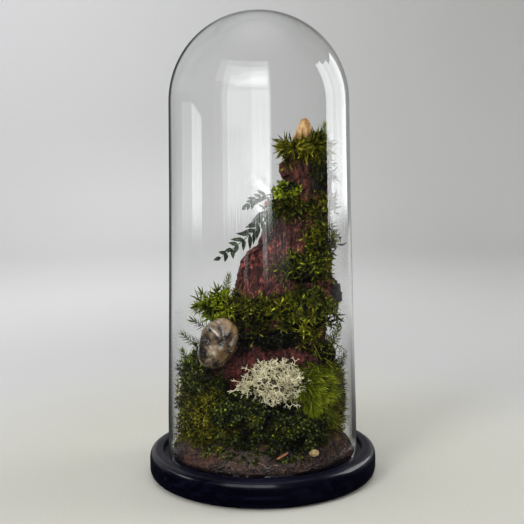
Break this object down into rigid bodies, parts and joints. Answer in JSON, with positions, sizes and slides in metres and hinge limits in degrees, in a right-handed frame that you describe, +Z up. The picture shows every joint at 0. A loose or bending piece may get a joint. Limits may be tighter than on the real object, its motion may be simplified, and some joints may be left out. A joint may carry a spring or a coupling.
{
  "type": "glass plant terrarium",
  "caption": "Tall clear glass dome on a round black turned wooden base, over weathered wood, a stone, mosses, lichen and a small fern on a bed of soil.",
  "frame": {"origin": "centre of the underside of the wooden base", "axes": "+Z up along the dome's axis, -Y to the front, +X to the right seen from the front"},
  "size_m": [0.15, 0.15, 0.302],
  "materials": {
    "black_wood": "black stained turned wood with a satin lacquer",
    "clear_glass": "clear blown glass",
    "soil": "damp dark soil with grit",
    "red_wood": "weathered fibrous red-brown wood, pale at the tip",
    "stone": "polished translucent brown and grey stone",
    "fern": "dark green satin leaflets",
    "lichen": "dry pale cream lichen",
    "shoot_green": "green needle leaves",
    "bright_moss": "bright yellow-green moss",
    "mid_moss": "olive green moss",
    "dark_moss": "dark small-leaved moss",
    "twig": "bare orange-brown twig",
    "chip": "pale split wood"
  },
  "bodies": {
    "root": {"wooden_base": "black_wood", "glass_dome": "clear_glass", "soil_bed": "soil", "weathered_wood": "red_wood", "leaning_stone": "stone", "fern_frond_long": "fern", "fern_frond_upper": "fern", "fern_frond_hanging": "fern", "reindeer_lichen": "lichen", "shoot_crown": "shoot_green", "shoot_left_top": "shoot_green", "shoot_left_upper": "shoot_green", "shoot_left_middle": "shoot_green", "shoot_left_lower": "shoot_green", "shoot_right_middle": "shoot_green", "shoot_right_lower": "shoot_green", "moss_crown": "bright_moss", "moss_crown_side": "dark_moss", "moss_leafy": "bright_moss", "moss_collar": "mid_moss", "moss_drape": "bright_moss", "moss_drape_low": "bright_moss", "moss_tuft": "bright_moss", "moss_shelf": "mid_moss", "moss_shelf_right": "bright_moss", "moss_hollow": "dark_moss", "moss_right_step": "mid_moss", "moss_cushion": "bright_moss", "moss_right": "mid_moss", "moss_left_step": "dark_moss", "moss_left": "mid_moss", "moss_front": "dark_moss", "moss_front_right": "dark_moss", "moss_side_left": "mid_moss", "moss_back_left": "dark_moss", "moss_back": "bright_moss", "moss_back_right": "mid_moss", "moss_back_shelf": "mid_moss", "moss_back_drape": "bright_moss", "moss_back_collar": "mid_moss", "twig_scrap": "twig", "wood_chip": "chip"}
  },
  "joints": []
}
